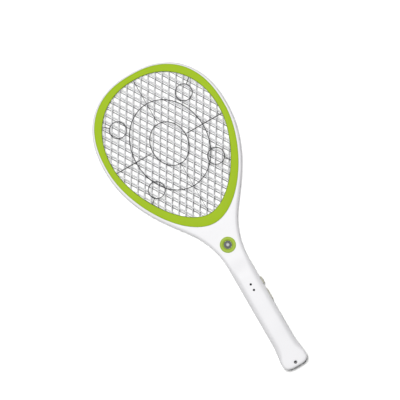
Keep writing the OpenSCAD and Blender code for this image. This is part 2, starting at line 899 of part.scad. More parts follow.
front_shell();
rear_shell();
front_trim_ring();
rear_trim_ring();
front_guard_mesh();
rear_guard_mesh();
high_voltage_grid();
front_spacer_ring();
rear_spacer_ring();
high_voltage_lead();
guard_lead();
guard_link_wire();
lamp_bezel();
lamp_lens();
lamp_reflector();
lamp_led();
lamp_board();
lamp_leads();
charge_led();
ready_led();
lamp_switch_knob();
lamp_switch_slider();
lamp_switch_body();
zap_button();
zap_switch_plunger();
zap_switch_body();
circuit_board();
transformer_core();
transformer_winding();
high_voltage_capacitor();
dropper_capacitor();
drive_transistor();
diodes();
resistors();
battery();
battery_pad();
battery_leads();
plug_carriage();
plug_blades();
plug_slider();
charge_contacts();
charge_leads();
rim_screws();
handle_screws();
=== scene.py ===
"""Electric fly swatter: moulded shells, trim rings, wire meshes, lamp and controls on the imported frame.

Sizes are in millimetres in the frame's axes (+X the switches' side, +Y the head, +Z out of the front);
Mesher and the other makers turn them into metres.
"""
import math

import bmesh
import bpy
import numpy as np
from mathutils import Matrix, Vector, geometry


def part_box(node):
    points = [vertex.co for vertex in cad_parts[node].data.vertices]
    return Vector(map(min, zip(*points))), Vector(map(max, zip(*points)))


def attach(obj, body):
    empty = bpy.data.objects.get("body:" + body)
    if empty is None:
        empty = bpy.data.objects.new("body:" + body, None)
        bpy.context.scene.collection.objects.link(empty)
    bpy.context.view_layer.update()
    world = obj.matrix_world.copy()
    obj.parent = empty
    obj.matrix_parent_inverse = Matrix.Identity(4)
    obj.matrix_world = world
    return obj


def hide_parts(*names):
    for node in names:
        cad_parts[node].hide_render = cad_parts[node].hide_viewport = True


MM = 0.001
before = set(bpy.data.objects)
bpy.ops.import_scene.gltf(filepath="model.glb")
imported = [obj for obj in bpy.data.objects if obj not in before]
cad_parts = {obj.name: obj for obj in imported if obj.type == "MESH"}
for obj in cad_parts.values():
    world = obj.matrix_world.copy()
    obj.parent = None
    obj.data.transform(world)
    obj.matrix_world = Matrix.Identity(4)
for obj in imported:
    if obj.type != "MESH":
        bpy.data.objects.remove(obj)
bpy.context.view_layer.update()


def box_mm(node):
    """Lowest and highest corner of a CAD node, in millimetres."""
    low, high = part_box(node)
    return np.array(low) / MM, np.array(high) / MM


def middle_y(node):
    """Where the middle of a CAD node lies along the racket."""
    low, high = box_mm(node)
    return (low[1] + high[1]) / 2


# ---------------------------------------------------------------- sizes

# GRIP_FACE, HEAD_FACE, REAR_FACE, LEDGE_TOP and the tops of pilots and slots are heights from the
# split between the shells; names in _Y and _Z are places in the frame.
SHELL_LOW, SHELL_HIGH = box_mm("front_shell")
SPLIT_Z = SHELL_LOW[2]
GRIP_FACE = SHELL_HIGH[2] - SPLIT_Z
HEAD_FACE = 12.0
REAR_FACE = 12.0
WALL = 2.2
HEAD_HALF_W = SHELL_HIGH[0]
TIP_Y = SHELL_HIGH[1]
END_Y = SHELL_LOW[1]
WIDEST_Y = 141.65
TIP_POWER = 2.32
FLANK_LEAD = 72.6
NECK_LEAD = 33.3
NECK_R = 123.0
NECK_TURN = math.radians(33.5)
NECK_END_Y = -74.5
GRIP_HALF_W = 17.2
FLARE_START_Y = -205.0
FLARE_Y = -237.0
FLARE_HALF_W = 20.0
END_POWER = 3.2
RAMP_START_Y = -58.0
RAMP_END_Y = -98.0
GRIP_CROWN = 0.5

TRIM_LOW, TRIM_HIGH = box_mm("front_trim_ring")
GUARD_LOW, GUARD_HIGH = box_mm("front_guard_mesh")
GUARD_EDGE = 4.0
OPEN_HALF_W = GUARD_HIGH[0] - GUARD_EDGE
OPEN_TOP_Y = GUARD_HIGH[1] - GUARD_EDGE
OPEN_BOTTOM_Y = 11.1
LEDGE_EDGE = 1.4
TRIM_FOOT_EDGE = 4.4
LEDGE_TOP = GUARD_LOW[2] - SPLIT_Z
LEDGE_T = 2.0
TRIM_FRONT_T = 3.0
TRIM_REAR_T = 2.2
TRIM_CLEAR = 0.5
TRIM_ROUNDING = ((0, 0.75), (0.12, 0.42), (0.4, 0.2), (0.85, 0.1))    # (inset, depth) to the flat

# The wires lean MESH_TURN to both sides of the long axis.
MESH_TURN = math.radians(31.7)
MESH_PITCH = 10.33
PATTERN_Y = 132.05
SMALLEST_HOLE = 12.0
WIRE_FLAT = 0.55

LAMP_FACE_Z = box_mm("lamp_bezel")[1][2]
LAMP_Y = middle_y("lamp_bezel")
LAMP_HOLE_R = 7.9
LED_YS = [middle_y(node) for node in ("charge_led", "ready_led")]
LED_R = 1.5
LED_HOLE_R = 1.65
HANG_Y = -243.2
HANG_R = 2.35
CONTROL_Z = 15.85
KNOB_LOW, KNOB_HIGH = box_mm("lamp_switch_knob")
KNOB_Y = middle_y("lamp_switch_knob")
ZAP_OUT = box_mm("zap_button")[1][0]
ZAP_Y = middle_y("zap_button")
# Openings in the side: lowest y, highest y, top above the split.
KNOB_SLOT = (KNOB_Y - 2.8, KNOB_Y + 6.8, 7.1)
ZAP_WINDOW = (ZAP_Y - 9.55, ZAP_Y + 9.55, 7.65)
BLADE_X = 6.35
BLADE_HALF_T = 0.75
BLADE_SLOT_X = (5.3, 7.4)
BLADE_SLOT_TOP = 4.5
BLADE_SLOT_BOTTOM = 2.5
PLUG_TRAVEL = 17.5
STEM_Y = -216.6
STEM_SLOT_Y = (-236.5, -214.2)
GRIP_SCREWS = [(0, -70), (-9, -151.5), (14.3, -238), (-14.3, -238)]
GRIP_BOSS_R = 2.9
GRIP_PILOT_R = 1.35
GRIP_SCREW_HOLE_R = 1.55
RIM_SCREW_PLACES = (0.055, 0.185, 0.3, 0.41)
RIM_SCREW_LINE = 6.2
RIM_BOSS_R = 2.3
RIM_PILOT_R = 1.05
RIM_SCREW_HOLE_R = 1.25
RIM_PILOT_TOP = 6.0
HANG_COLLAR_R = 3.1

CURVE_STEPS = 88


# ---------------------------------------------------------------- outlines

def smooth(t):
    """Cosine step from 0 to 1."""
    return (1 - np.cos(np.pi * np.clip(t, 0, 1))) / 2


def tip_curve(half_w, tip_y, side_y, power, steps=CURVE_STEPS):
    """Quarter superellipse from the tip on the long axis to the widest point on the right."""
    turn = np.linspace(0, math.pi / 2, steps + 1)
    across = half_w * np.sin(turn) ** (2 / power)
    along = side_y + (tip_y - side_y) * np.cos(turn).clip(0) ** (2 / power)
    return np.column_stack([across, along])


def bezier(p0, p1, p2, p3, steps=CURVE_STEPS):
    """Cubic curve from p0 to p3, without p0."""
    t = np.linspace(0, 1, steps + 1)[1:, None]
    u = 1 - t
    corners = [np.array(p, float) for p in (p0, p1, p2, p3)]
    weights = (u ** 3, 3 * u * u * t, 3 * u * t * t, t ** 3)
    return sum(w * p for w, p in zip(weights, corners))


def both_sides(side):
    """A closed clockwise outline from its right side."""
    return np.vstack([side, side[-2:0:-1] * [-1, 1]])


def outward(points):
    """Unit normals of a clockwise outline."""
    along = np.roll(points, -1, 0) - np.roll(points, 1, 0)
    normal = np.column_stack([-along[:, 1], along[:, 0]])
    return normal / np.linalg.norm(normal, axis=1)[:, None]


def grow(points, distance):
    """An outline moved outward by one distance, or by one for each point."""
    distance = np.broadcast_to(np.asarray(distance, float), len(points))
    return points + outward(points) * distance[:, None]


def egg(half_w, top_y, bottom_y, side_lead, bottom_lead, power, steps=CURVE_STEPS):
    """The egg-shaped loop of the opening, or of the trim round it."""
    bottom = bezier((half_w, WIDEST_Y), (half_w, WIDEST_Y - side_lead),
                    (bottom_lead, bottom_y), (0, bottom_y), steps)
    return both_sides(np.vstack([tip_curve(half_w, top_y, WIDEST_Y, power, steps), bottom]))


def body_outline():
    """The whole racket seen from the front, with points at the edges of its side openings."""
    start = np.array([GRIP_HALF_W + NECK_R * (1 - math.cos(NECK_TURN)),
                      NECK_END_Y + NECK_R * math.sin(NECK_TURN)])
    lead = start + NECK_LEAD * np.array([math.sin(NECK_TURN), math.cos(NECK_TURN)])
    flank = bezier((HEAD_HALF_W, WIDEST_Y), (HEAD_HALF_W, WIDEST_Y - FLANK_LEAD), lead, start)
    turn = np.linspace(NECK_TURN, 0, 25)[1:, None]
    neck = np.hstack([GRIP_HALF_W + NECK_R * (1 - np.cos(turn)), NECK_END_Y + NECK_R * np.sin(turn)])
    edges = [*KNOB_SLOT[:2], *ZAP_WINDOW[:2]]
    ys = [y for y in np.linspace(NECK_END_Y, FLARE_START_Y, 60)[1:]
          if min(abs(y - edge) for edge in edges) > 0.7]
    ys = np.array(sorted(ys + edges, reverse=True))[:, None]
    grip = np.hstack([np.full_like(ys, GRIP_HALF_W), ys])
    t = np.linspace(0, 1, 21)[1:, None]
    flare = np.hstack([GRIP_HALF_W + (FLARE_HALF_W - GRIP_HALF_W) * smooth(t),
                       FLARE_START_Y + (FLARE_Y - FLARE_START_Y) * t])
    slots = [math.acos((x / FLARE_HALF_W) ** (END_POWER / 2)) for x in BLADE_SLOT_X]
    turn = np.array(sorted([*np.linspace(0, math.pi / 2, 37)[1:], *slots]))[:, None]
    end = np.hstack([FLARE_HALF_W * np.cos(turn).clip(0) ** (2 / END_POWER),
                     FLARE_Y + (END_Y - FLARE_Y) * np.sin(turn) ** (2 / END_POWER)])
    tip = tip_curve(HEAD_HALF_W, TIP_Y, WIDEST_Y, TIP_POWER)
    return both_sides(np.vstack([tip, flank, neck, grip, flare, end]))


def opening_outline(steps=CURVE_STEPS):
    return egg(OPEN_HALF_W, OPEN_TOP_Y, OPEN_BOTTOM_Y,
               side_lead=54.8, bottom_lead=42.2, power=2.18, steps=steps)


def trim_outline(steps=CURVE_STEPS):
    return egg(TRIM_HIGH[0], TRIM_HIGH[1], TRIM_LOW[1],
               side_lead=64, bottom_lead=47.3, power=2.35, steps=steps)


BODY = body_outline()
OPENING = opening_outline()
TRIM = trim_outline()


def distance_to(points, outline):
    """Distance from each point to the nearest corner of a closely spaced outline."""
    gaps = points[:, None, :] - outline[None, :, :]
    return np.sqrt((gaps ** 2).sum(2)).min(1)


def inside(points, outline):
    """Whether each point lies inside an outline."""
    x, y = points[:, :1], points[:, 1:]
    px, py = outline.T
    qx, qy = np.roll(outline, -1, 0).T
    spans = (py > y) != (qy > y)
    with np.errstate(divide="ignore", invalid="ignore"):
        left = x < (qx - px) * (y - py) / (qy - py) + px
    return (spans & left).sum(1) % 2 == 1


def circle(spot, radius, count=40):
    """A clockwise circle."""
    turn = -np.linspace(0, 2 * math.pi, count, endpoint=False)
    return np.column_stack([spot[0] + radius * np.cos(turn), spot[1] + radius * np.sin(turn)])


def rounded_box_outline(half_x, half_y, corner, count=6):
    """A clockwise rounded rectangle round the origin."""
    points = []
    for sx, sy, start in ((1, 1, 90), (1, -1, 0), (-1, -1, -90), (-1, 1, -180)):
        for k in range(count + 1):
            turn = math.radians(start - 90 * k / count)
            points.append((sx * (half_x - corner) + corner * math.cos(turn),
                           sy * (half_y - corner) + corner * math.sin(turn)))
    return np.array(points)


# ---------------------------------------------------------------- mesh building

class Mesher:
    """Collects rings of points and the faces between them, in millimetres."""

    def __init__(self):
        self.points = []
        self.faces = []

    def ring(self, xy, z):
        """Adds points and returns their numbers."""
        z = np.broadcast_to(np.asarray(z, float), len(xy))
        first = len(self.points)
        self.points.extend((x, y, height) for (x, y), height in zip(xy, z))
        return np.arange(first, first + len(xy))

    def xy(self, ring):
        return np.array([self.points[i][:2] for i in ring])

    def bridge(self, a, b, skip=frozenset()):
        """Quads between two closed rings of the same length."""
        count = len(a)
        for i in range(count):
            if i not in skip:
                j = (i + 1) % count
                self.faces.append((a[i], a[j], b[j], b[i]))

    def chain(self, rings):
        for a, b in zip(rings, rings[1:]):
            self.bridge(a, b)

    def cap(self, ring):
        self.faces.append(tuple(ring))

    def fill(self, outer, holes, height, extra=()):
        """Triangles between a ring and the rings inside it; extra are more points for the surface."""
        rings = [outer, *holes]
        numbers = np.concatenate(rings)
        flat = [Vector(self.points[i][:2]) for i in numbers]
        edges = []
        first = 0
        for ring in rings:
            count = len(ring)
            edges += [(first + i, first + (i + 1) % count) for i in range(count)]
            first += count
        if len(extra):
            added = self.ring(extra, height(extra))
            numbers = np.concatenate([numbers, added])
            flat += [Vector(p) for p in extra]
        places, _, triangles, sources, _, _ = geometry.delaunay_2d_cdt(flat, edges, [], 0, 1e-7)
        places = np.array([tuple(p) for p in places])
        triangles = np.array([t for t in triangles if len(t) == 3])
        middles = places[triangles].mean(1)
        keep = inside(middles, self.xy(outer))
        for hole in holes:
            keep &= ~inside(middles, self.xy(hole))
        for triangle in triangles[keep]:
            if any(not sources[i] for i in triangle):
                continue
            self.faces.append(tuple(int(numbers[sources[i][0]]) for i in triangle))

    def build(self, name, material, sharp=33, matrix=None):
        """Makes the object, in metres, with smooth shading broken at sharp edges."""
        mesh = bpy.data.meshes.new(name)
        points = [(x * MM, y * MM, z * MM) for x, y, z in self.points]
        mesh.from_pydata(points, [], [tuple(int(i) for i in face) for face in self.faces])
        work = bmesh.new()
        work.from_mesh(mesh)
        loose = [v for v in work.verts if not v.link_faces]
        bmesh.ops.delete(work, geom=loose, context="VERTS")
        bmesh.ops.recalc_face_normals(work, faces=work.faces)
        work.to_mesh(mesh)
        work.free()
        if matrix is not None:
            mesh.transform(matrix)
        mesh.shade_smooth()
        mesh.set_sharp_from_angle(angle=math.radians(sharp))
        mesh.materials.append(material)
        piece = bpy.data.objects.new(name, mesh)
        bpy.context.scene.collection.objects.link(piece)
        return piece


def lathe(mesher, profile, spot=(0, 0), count=72, closed=True):
    """Turns (radius, height) points about an upright axis; radius 0 becomes a fan."""
    rings = []
    for radius, z in profile:
        if radius > 1e-6:
            rings.append(mesher.ring(circle(spot, radius, count), z))
        else:
            rings.append(mesher.ring([spot], z))
    pairs = list(zip(rings, rings[1:]))
    if closed:
        pairs.append((rings[-1], rings[0]))
    for a, b in pairs:
        if len(a) == 1 and len(b) == 1:
            continue
        if len(a) == 1 or len(b) == 1:
            hub, rim = (a[0], b) if len(a) == 1 else (b[0], a)
            for i in range(count):
                mesher.faces.append((hub, rim[i], rim[(i + 1) % count]))
        else:
            mesher.bridge(a, b)


def prism(mesher, outline, layers, centre=(0, 0)):
    """A closed solid of stacked outlines: layers are (inset, height) from one end to the other."""
    rings = [mesher.ring(grow(outline, -inset) + centre, z) for inset, z in layers]
    mesher.chain(rings)
    mesher.cap(rings[0])
    mesher.cap(rings[-1])


TUBE_SIDES = 8


def tube(mesher, path, radius, closed=False):
    """A round bar along points."""
    path = np.array(path, float)
    if closed:
        along = np.roll(path, -1, 0) - np.roll(path, 1, 0)
    else:
        along = np.gradient(path, axis=0)
    along /= np.linalg.norm(along, axis=1)[:, None]
    rings = []
    for point, direction in zip(path, along):
        up = np.array([0, 0, 1.0]) if abs(direction[2]) < 0.9 else np.array([1.0, 0, 0])
        side = np.cross(direction, up)
        side /= np.linalg.norm(side)
        rise = np.cross(side, direction)
        first = len(mesher.points)
        for k in range(TUBE_SIDES):
            turn = 2 * math.pi * (k + 0.5) / TUBE_SIDES
            offset = radius * (math.cos(turn) * side + math.sin(turn) * rise)
            mesher.points.append(tuple(point + offset))
        rings.append(np.arange(first, first + TUBE_SIDES))
    mesher.chain(rings)
    if closed:
        mesher.bridge(rings[-1], rings[0])
    else:
        mesher.cap(rings[0])
        mesher.cap(rings[-1])


# ---------------------------------------------------------------- materials

NOISE_LOW = 0.3
NOISE_HIGH = 0.7
MOTTLE = 28.0
GLOSS_VARY = 0.12


def noise(tree, scale, detail):
    """Noise in the object's own space; scale is in features per metre."""
    place = tree.nodes.new("ShaderNodeTexCoord")
    node = tree.nodes.new("ShaderNodeTexNoise")
    node.inputs["Scale"].default_value = scale
    node.inputs["Detail"].default_value = detail
    tree.links.new(place.outputs["Object"], node.inputs["Vector"])
    return node


def ramp(tree, source, low, high):
    """A colour that runs from low to high with source."""
    node = tree.nodes.new("ShaderNodeValToRGB")
    node.color_ramp.elements[0].position = NOISE_LOW
    node.color_ramp.elements[1].position = NOISE_HIGH
    node.color_ramp.elements[0].color = (*low, 1)
    node.color_ramp.elements[1].color = (*high, 1)
    tree.links.new(source, node.inputs["Fac"])
    return node


def spread(tree, source, low, high):
    """A number that runs from low to high with source."""
    node = tree.nodes.new("ShaderNodeMapRange")
    node.inputs["From Min"].default_value = NOISE_LOW
    node.inputs["From Max"].default_value = NOISE_HIGH
    node.inputs["To Min"].default_value = low
    node.inputs["To Max"].default_value = high
    tree.links.new(source, node.inputs["Value"])
    return node


def surface(name, colour, roughness, vary=0.04, metallic=0.0, grain=900.0, relief=0.05,
            coat=0.0, depth=0.00005, specular=0.5):
    """A procedural finish: colour and gloss vary softly, with a fine grain in relief.

    vary is the share that the colour varies by, grain is in features per metre, relief is the bump's
    strength, and depth is its height in metres.
    """
    material = bpy.data.materials.new(name)
    material.use_nodes = True
    tree = material.node_tree
    shader = tree.nodes["Principled BSDF"]
    broad = noise(tree, MOTTLE, 3.0)
    fine = noise(tree, grain, 2.0)
    low = tuple(c * (1 - vary) for c in colour)
    high = tuple(min(1.0, c * (1 + vary)) for c in colour)
    tint = ramp(tree, broad.outputs["Fac"], low, high)
    gloss = spread(tree, fine.outputs["Fac"], roughness * (1 - GLOSS_VARY),
                   min(1.0, roughness * (1 + GLOSS_VARY)))
    bump = tree.nodes.new("ShaderNodeBump")
    bump.inputs["Strength"].default_value = relief
    bump.inputs["Distance"].default_value = depth
    tree.links.new(fine.outputs["Fac"], bump.inputs["Height"])
    tree.links.new(tint.outputs["Color"], shader.inputs["Base Color"])
    tree.links.new(gloss.outputs["Result"], shader.inputs["Roughness"])
    tree.links.new(bump.outputs["Normal"], shader.inputs["Normal"])
    shader.inputs["Metallic"].default_value = metallic
    shader.inputs["Specular IOR Level"].default_value = specular
    if coat:
        shader.inputs["Coat Weight"].default_value = coat
        shader.inputs["Coat Roughness"].default_value = 0.12
    return material


WHITE = surface("white_plastic", (0.645, 0.642, 0.656), 0.53,
                vary=0.012, grain=1400, relief=0.10, specular=0.44)
LIME = surface("lime_plastic", (0.276, 0.410, 0.0045), 0.58,
               vary=0.03, grain=1400, relief=0.08, specular=0.12)
BEZEL = surface("bezel_plastic", (0.283, 0.398, 0.040), 0.55,
                vary=0.03, grain=1400, relief=0.08, specular=0.14)
CONTROL = surface("control_plastic", (0.31, 0.30, 0.235), 0.5, vary=0.03, grain=1600, relief=0.15)
GUARD_METAL = surface("guard_metal", (0.60, 0.60, 0.61), 0.6,
                      vary=0.04, metallic=0.1, grain=2200, relief=0.2)
# The guard metal again, darkened: painted shade for the rear guard, which lies under the front guard and the
# grid.
REAR_GUARD_PAINTED_SHADE = surface("rear_guard_painted_shade_metal", (0.36, 0.36, 0.37), 0.50,
                     vary=0.06, metallic=0.45, grain=2200, relief=0.2)
# Near-black: painted shade standing for the shaded sides of the guard's pressed pattern.
RIB_PAINTED_SHADE = surface("rib_painted_shade", (0.022, 0.022, 0.025), 0.55,
                    vary=0.12, metallic=0.2, grain=2200, relief=0.2, specular=0.25)
# Near-black: the live grid's steel darkened as painted shade, drawing dark lines next to the front guard's
# wires.
GRID_PAINTED_SHADE = surface("grid_painted_shade_metal", (0.07, 0.07, 0.075), 0.45,
                     vary=0.10, metallic=0.5, grain=2200, relief=0.2)
SPACER = surface("spacer_plastic", (0.74, 0.75, 0.74), 0.55, vary=0.02, grain=1200, relief=0.12)
CHROME = surface("lamp_chrome", (0.03, 0.032, 0.035), 0.42,
                 vary=0.02, metallic=0.4, grain=900, relief=0.01, specular=0.1)
SCREW = surface("screw_steel", (0.52, 0.52, 0.53), 0.30, vary=0.08, metallic=1.0, grain=2600, relief=0.15)
NICKEL = surface("blade_nickel", (0.66, 0.63, 0.58), 0.24, vary=0.06, metallic=1.0, grain=1800, relief=0.1)
BRASS = surface("contact_brass", (0.70, 0.48, 0.16), 0.30, vary=0.08, metallic=1.0)
BLACK = surface("black_plastic", (0.022, 0.022, 0.024), 0.45, vary=0.15, relief=0.15)
BOARD = surface("board_green", (0.02, 0.16, 0.05), 0.32, vary=0.10, coat=0.3)
FERRITE = surface("ferrite", (0.05, 0.05, 0.052), 0.62, vary=0.15, relief=0.3)
COPPER = surface("copper_wire", (0.62, 0.24, 0.09), 0.28, vary=0.10, metallic=0.9)
FILM_RED = surface("film_red", (0.38, 0.035, 0.02), 0.28, vary=0.06, coat=0.4)
FILM_YELLOW = surface("film_yellow", (0.72, 0.42, 0.03), 0.30, vary=0.06, coat=0.3)
TAN = surface("resistor_tan", (0.50, 0.36, 0.19), 0.55, vary=0.10)
CASE_GREY = surface("battery_case", (0.16, 0.18, 0.21), 0.42, vary=0.06, relief=0.15)
FOAM = surface("foam", (0.03, 0.03, 0.03), 0.9, vary=0.25, grain=700, relief=0.8, depth=0.0003)
STEEL = surface("switch_steel", (0.58, 0.58, 0.57), 0.30, vary=0.06, metallic=1.0)
WIRE_RED = surface("wire_red", (0.46, 0.012, 0.01), 0.42, vary=0.06)
WIRE_BLACK = surface("wire_black", (0.015, 0.015, 0.015), 0.45, vary=0.1)
WIRE_YELLOW = surface("wire_yellow", (0.66, 0.42, 0.015), 0.42, vary=0.06)
WIRE_BROWN = surface("wire_brown", (0.14, 0.05, 0.02), 0.45, vary=0.08)
DARK_LENS = surface("indicator_lens", (0.012, 0.010, 0.012), 0.32, vary=0.1, relief=0.02, specular=0.25)
EMITTER = surface("lamp_emitter", (0.46, 0.47, 0.47), 0.6, vary=0.05, relief=0.02, specular=0.15)


def clear_plastic():
    material = surface("lamp_clear", (0.70, 0.72, 0.73), 0.3, vary=0.01, relief=0.0, specular=0.12)
    shader = material.node_tree.nodes["Principled BSDF"]
    shader.inputs["Alpha"].default_value = 0.07
    shader.inputs["IOR"].default_value = 1.5
    return material


CLEAR = clear_plastic()


def take(piece, *nodes, body="racket"):
    """A piece stands for CAD nodes and rides on their body."""
    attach(piece, body)
    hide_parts(*nodes)
    return piece


# ---------------------------------------------------------------- shells

def ramp_share(y):
    """0 on the head, 1 on the handle, where the front face has risen."""
    return smooth((RAMP_START_Y - y) / (RAMP_START_Y - RAMP_END_Y))


def front_face(xy):
    share = ramp_share(xy[:, 1])
    crown = GRIP_CROWN * (xy[:, 0] / GRIP_HALF_W) ** 2
    return HEAD_FACE + share * (GRIP_FACE - HEAD_FACE - crown)


def rear_face(xy):
    return np.full(len(xy), REAR_FACE)


def ceiling_of(face):
    """Depth of a shell's inside: the ledge round the opening, and the wall elsewhere."""
    ledge_bottom = LEDGE_TOP - LEDGE_T
    rise_start = 2.4
    rise_length = 4

    def ceiling(xy):
        beyond = np.where(inside(xy, TRIM), 0, distance_to(xy, TRIM))
        return ledge_bottom + (face(xy) - WALL - ledge_bottom) * smooth((beyond - rise_start) / rise_length)
    return ceiling


def edge_radius(grip_r):
    """Rounding of the outer edge at each point of BODY: small beside the trim, large on the handle."""
    band = 0.8 * (distance_to(BODY, trim_outline(300)) - TRIM_CLEAR)
    neck_r = 4.5
    end_r = min(grip_r, 3.3)
    straight_start_y = RAMP_END_Y - 4
    end_start_y = FLARE_START_Y - 14
    end_length = 18
    wanted = neck_r + (grip_r - neck_r) * ramp_share(BODY[:, 1])
    radius = np.minimum(band, wanted)
    for _ in range(6):    # soften the corner where one limit takes over from the other
        radius = (np.roll(radius, 1) + 2 * radius + np.roll(radius, -1)) / 4
    radius[BODY[:, 1] < straight_start_y] = grip_r
    return radius + (end_r - radius) * smooth((end_start_y - BODY[:, 1]) / end_length)


TOUCH = 0.01


def columns(low_y, high_y):
    """First and last column of BODY on the right side between two heights that it has points at."""
    fits = (BODY[:, 0] > 0) & (BODY[:, 1] > low_y - TOUCH) & (BODY[:, 1] < high_y + TOUCH)
    found = np.where(fits)[0]
    return found[0], found[-1]


def slot_columns(side):
    """First and last column of BODY across one blade's slot in the handle's end."""
    low, high = BLADE_SLOT_X
    end = BODY[:, 1] < END_Y + 6
    fits = (side * BODY[:, 0] > low - TOUCH) & (side * BODY[:, 0] < high + TOUCH)
    found = np.where(end & fits)[0]
    return found[0], found[-1]


def grid_points(outline, spacing, holes):
    """Evenly spaced points well inside an outline and clear of its holes."""
    low, high = outline.min(0), outline.max(0)
    xs = np.arange(low[0], high[0], spacing)
    ys = np.arange(low[1], high[1], spacing)
    points = np.array([(x, y) for x in xs for y in ys])
    points = points[inside(points, outline)]
    points = points[distance_to(points, outline) > spacing * 0.6]
    for hole in holes:
        points = points[~inside(points, hole)]
        points = points[distance_to(points, hole) > spacing * 0.5]
    return points


def rim_screw_spots():
    """Where the rim's screws stand, on a line round the opening."""
    line = grow(OPENING, RIM_SCREW_LINE)
    spots = [line[round(place * len(line))] for place in RIM_SCREW_PLACES]
    return [np.array([side * x, y]) for x, y in spots for side in (1, -1)]


def build_shell(name, side, face, grip_r, drop, levels, windows, bores, bosses, pocket=None):
    """One half of the casing. Heights are measured from the split, out through the face.

    The edge rounding is grip_r wide on the handle and drop times as deep as wide;
    levels are the side wall's heights on the handle; windows are (first column, last column, level
    count); bores are (spot, [(radius, height or None at the face or ceiling)]) from face to inside;
    bosses are (spot, outer radius, pilot radius, pilot height) and stand inside only.
    """
    make = Mesher()
    ceiling = ceiling_of(face)
    radius = edge_radius(grip_r)
    on_grip = np.array([[GRIP_HALF_W, FLARE_START_Y]])
    grip_wall_top = face(on_grip)[0] - drop * grip_r

    def height(h):
        return SPLIT_Z + side * h

    def skin(inset, wall_top, corner, surface_height, bevel):
        """Side wall and rounded edge of one skin; returns all of its rings."""
        rings = []
        for k, level in enumerate(levels):
            extra = bevel if k == 0 else 0
            rings.append(make.ring(grow(BODY, -inset - extra),
                                   height(wall_top * level / grip_wall_top)))
        for turn in np.linspace(0, math.pi / 2, 9):
            place = grow(BODY, -inset - corner * (1 - math.cos(turn)))
            fall = drop * corner * (1 - math.sin(turn))
            rings.append(make.ring(place, height(surface_height(place) - fall)))
        return rings

    outer = skin(0, face(BODY) - drop * radius, radius, face, 0.25)
    inner_edge = grow(BODY, -WALL)
    inner_r = np.maximum(radius - WALL, 0.2)
    inner = skin(WALL, ceiling(inner_edge) - drop * inner_r, inner_r, ceiling, 0)

    gone = [set() for _ in outer]
    for first, last, count in windows:
        for row in range(count):
            gone[row] |= set(range(first, last))
    for rings in (outer, inner):
        for row, (a, b) in enumerate(zip(rings, rings[1:])):
            make.bridge(a, b, gone[row])
    make.bridge(outer[0], inner[0], gone[0])
    for first, last, count in windows:
        for column in (first, last):
            for row in range(count):
                make.faces.append((outer[row][column], outer[row + 1][column],
                                   inner[row + 1][column], inner[row][column]))
        for column in range(first, last):
            make.faces.append((outer[count][column], outer[count][column + 1],
                               inner[count][column + 1], inner[count][column]))

    lip = grow(TRIM, TRIM_CLEAR)
    seat = [make.ring(lip, height(face(lip))), make.ring(grow(TRIM, 0.2), height(face(TRIM) - 0.3)),
            make.ring(grow(TRIM, 0.2), height(LEDGE_TOP)),
            make.ring(grow(OPENING, LEDGE_EDGE), height(LEDGE_TOP)),
            make.ring(grow(OPENING, LEDGE_EDGE), height(LEDGE_TOP - LEDGE_T))]
    make.chain(seat)
    face_holes, ceiling_holes = [seat[0]], [seat[-1]]

    for spot, profile in bores:
        rings = []
        for k, (r, h) in enumerate(profile):
            place = circle(spot, r)
            if h is None:
                h = face(place) if k == 0 else ceiling(place)
            rings.append(make.ring(place, height(h)))
        make.chain(rings)
        face_holes.append(rings[0])
        ceiling_holes.append(rings[-1])
    for spot, boss_r, pilot_r, pilot_h in bosses:
        foot = circle(spot, boss_r, 24)
        rings = [make.ring(foot, height(ceiling(foot) + 0.5)), make.ring(foot, height(0)),
                 make.ring(circle(spot, pilot_r, 24), height(0)),
                 make.ring(circle(spot, pilot_r, 24), height(pilot_h))]
        make.chain(rings)
        make.cap(rings[0])
        make.cap(rings[-1])
    if pocket:
        mouth, foot = pocket(make, height)
        face_holes.append(mouth)
        ceiling_holes.append(foot)

    for edge, holes, surface_height in ((outer[-1], face_holes, face), (inner[-1], ceiling_holes, ceiling)):
        clear_of = [make.xy(hole) for hole in holes]
        extra = grid_points(make.xy(edge), 4.5, clear_of)
        make.fill(edge, holes, lambda xy, f=surface_height: height(f(xy)), extra)
    return make.build(name, WHITE)


def slider_pocket(make, height):
    """The recess in the back that the plug's thumb slider runs in, with its slot."""
    low, high = box_mm("plug_slider")
    middle = np.array([0, (low[1] + high[1] - PLUG_TRAVEL) / 2])
    half_x = high[0] + 0.4
    half_y = (high[1] - low[1] + PLUG_TRAVEL) / 2 + 0.5
    depth = REAR_FACE - 3.8
    underside = depth - 1.8
    slot_low, slot_high = STEM_SLOT_Y
    slot = rounded_box_outline(1.7, (slot_high - slot_low) / 2, 1.2) + (0, (slot_low + slot_high) / 2)
    rect = rounded_box_outline(half_x, half_y, 1.6)
    rings = [make.ring(rounded_box_outline(half_x + 0.3, half_y + 0.3, 1.9) + middle, height(REAR_FACE)),
             make.ring(rect + middle, height(REAR_FACE - 0.3)),
             make.ring(rect + middle, height(depth))]
    make.chain(rings)
    floor_slot = make.ring(slot, height(depth))
    make.fill(rings[-1], [floor_slot], None)
    inner_slot = make.ring(slot, height(underside))
    make.bridge(floor_slot, inner_slot)
    wall = rounded_box_outline(half_x + 1.0, half_y + 1.0, 2.4) + middle
    top = make.ring(wall, height(underside))
    make.fill(top, [inner_slot], None)
    foot = make.ring(wall, height(REAR_FACE - WALL))
    make.bridge(top, foot)
    return rings[0], foot


def hang_bore(face):
    """The hang hole through one shell, with its collar inside."""
    return ((0, HANG_Y), [(3.0, None), (2.6, face - 0.15), (HANG_R, face - 0.6), (HANG_R, 0),
                          (HANG_COLLAR_R, 0), (HANG_COLLAR_R, None)])


